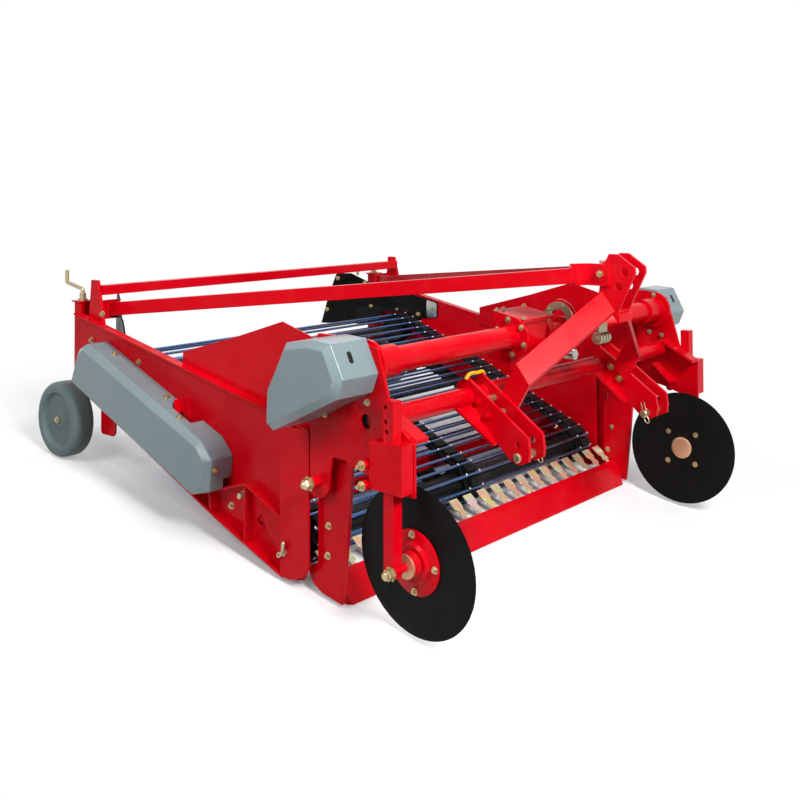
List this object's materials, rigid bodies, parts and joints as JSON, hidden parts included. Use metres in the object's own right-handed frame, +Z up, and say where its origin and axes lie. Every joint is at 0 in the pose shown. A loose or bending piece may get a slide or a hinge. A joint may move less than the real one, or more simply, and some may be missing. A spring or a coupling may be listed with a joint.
{
  "type": "mounted potato digger with rod web",
  "caption": "Tractor-mounted digger: a share lifts the ridge onto a sloping rod web between side frames, with coulter discs, chain covers and screw-set rear wheels.",
  "frame": {"origin": "middle of the bounding box, at floor level", "axes": "+Z up from the floor, +Y towards the digger's rear, -Y towards the tractor, +X towards the digger's left side"},
  "size_m": [2.09, 2.0844, 1.0668],
  "materials": {
    "red_paint": "bright red gloss enamel on steel",
    "grey_paint": "light grey-blue enamel on pressed steel covers",
    "black_paint": "black satin enamel on discs and boards",
    "wheel_grey": "grey paint over the whole solid wheel",
    "web_steel": "blue-black tempered steel rods",
    "belt_rubber": "black ribbed rubber belting",
    "zinc": "yellow passivated zinc on small steel parts",
    "bright_steel": "machined bare steel",
    "roller_black": "black paint on rollers and shafts"
  },
  "bodies": {
    "frame": {"brace_left": "red_paint", "brace_right": "red_paint", "clevis_left": "red_paint", "clevis_right": "red_paint", "coulter_shank_left": "red_paint", "coulter_shank_right": "red_paint", "coulter_sleeve_left": "red_paint", "coulter_sleeve_right": "red_paint", "crank_left": "zinc", "crank_right": "zinc", "cross_tube": "red_paint", "deflector_left": "black_paint", "deflector_right": "black_paint", "drive_tube_left": "red_paint", "drive_tube_right": "red_paint", "fingers": "zinc", "front_cover_left": "grey_paint", "front_cover_right": "grey_paint", "front_roller": "roller_black", "gearbox": "red_paint", "guard_left": "red_paint", "guard_right": "red_paint", "hitch_beam": "red_paint", "mast": "red_paint", "middle_roller": "roller_black", "outer_plate_left": "red_paint", "outer_plate_right": "red_paint", "post_left": "red_paint", "post_right": "red_paint", "rear_bar": "red_paint", "share": "red_paint", "share_plate_left": "red_paint", "share_plate_right": "red_paint", "side_cover_right": "grey_paint", "side_wall_left": "red_paint", "side_wall_right": "red_paint", "strut_left": "red_paint", "strut_right": "red_paint", "upright_left": "red_paint", "upright_right": "red_paint", "web_belts": "belt_rubber", "web_rods": "web_steel", "web_shaft": "roller_black"},
    "leg_left": {"wheel_leg_left": "red_paint"},
    "wheel_left": {"wheel_left": "wheel_grey"},
    "disc_left": {"disc_left": "black_paint"},
    "leg_right": {"wheel_leg_right": "red_paint"},
    "wheel_right": {"wheel_right": "wheel_grey"},
    "disc_right": {"disc_right": "black_paint"},
    "pto_shaft": {"pto_shaft": "bright_steel"}
  },
  "joints": [
    {"name": "leg_height_left", "type": "slide", "parent": "frame", "child": "leg_left", "axis": [0, 0.151, 0.9885], "range_m": [-0.12, 0.06]},
    {"name": "wheel_spin_left", "type": "hinge", "parent": "leg_left", "child": "wheel_left", "pos_m": [0.898, 0.84281, 0.14211], "axis": [1, 0, 0], "continuous": true},
    {"name": "disc_spin_left", "type": "hinge", "parent": "frame", "child": "disc_left", "pos_m": [0.821, -0.82733, 0.22829], "axis": [0.9971, 0.0336, -0.0686], "continuous": true},
    {"name": "leg_height_right", "type": "slide", "parent": "frame", "child": "leg_right", "axis": [0, 0.151, 0.9885], "range_m": [-0.12, 0.06]},
    {"name": "wheel_spin_right", "type": "hinge", "parent": "leg_right", "child": "wheel_right", "pos_m": [-0.898, 0.84281, 0.14211], "axis": [1, 0, 0], "continuous": true},
    {"name": "disc_spin_right", "type": "hinge", "parent": "frame", "child": "disc_right", "pos_m": [-0.821, -0.82733, 0.22829], "axis": [-0.9971, 0.0336, -0.0686], "continuous": true},
    {"name": "pto_spin", "type": "hinge", "parent": "frame", "child": "pto_shaft", "pos_m": [-0.06, -0.72884, 0.70084], "axis": [0, -0.9885, 0.151], "continuous": true}
  ]
}
